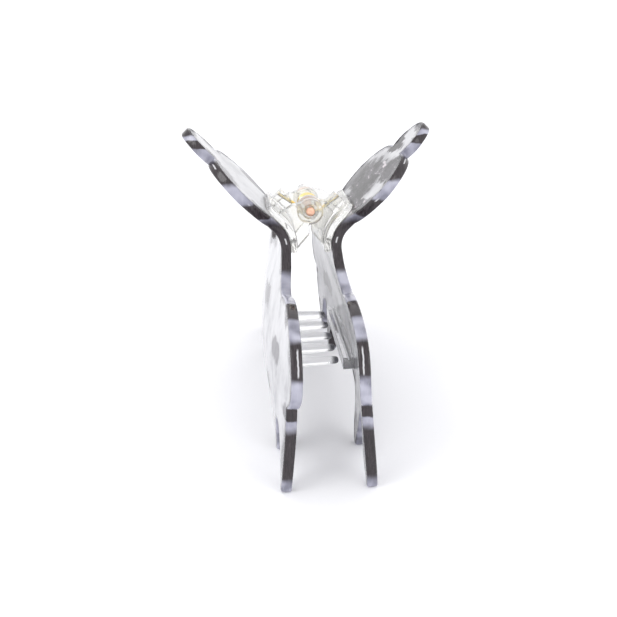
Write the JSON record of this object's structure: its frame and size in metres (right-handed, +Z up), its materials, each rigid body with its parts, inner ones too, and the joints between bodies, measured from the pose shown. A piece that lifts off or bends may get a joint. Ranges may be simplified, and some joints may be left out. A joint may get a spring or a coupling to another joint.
{
  "type": "alligator hair clip",
  "caption": "Spring-hinged claw hair clip: two bent, scalloped acetate jaws with two pointed teeth at each end, flared handles and clear inner combs, closed at rest.",
  "frame": {"origin": "on the ground, in the middle of the tooth tips", "axes": "+Z up, +Y along the hinge pin and the jaws' length, +X from the left jaw to the right jaw"},
  "size_m": [0.0654, 0.1092, 0.0752],
  "materials": {
    "marbled_acetate": "polished",
    "clear_plastic": "polished",
    "gold_wire": "polished",
    "pin_metal": "satin"
  },
  "bodies": {
    "left_half": {"left_plate": "marbled_acetate", "left_hinge_leaf": "clear_plastic", "hinge_pin": "pin_metal", "torsion_spring": "gold_wire", "left_comb": "clear_plastic"},
    "right_half": {"right_plate": "marbled_acetate", "right_hinge_leaf": "clear_plastic", "torsion_spring_leg": "gold_wire", "right_comb": "clear_plastic"}
  },
  "joints": [
    {"name": "jaw_hinge", "type": "hinge", "parent": "left_half", "child": "right_half", "pos_m": [0, 0, 0.0555], "axis": [0, -1, 0], "range_deg": [0, 60], "stiffness_Nm_per_rad": 0.25, "springref_deg": -51.57}
  ]
}
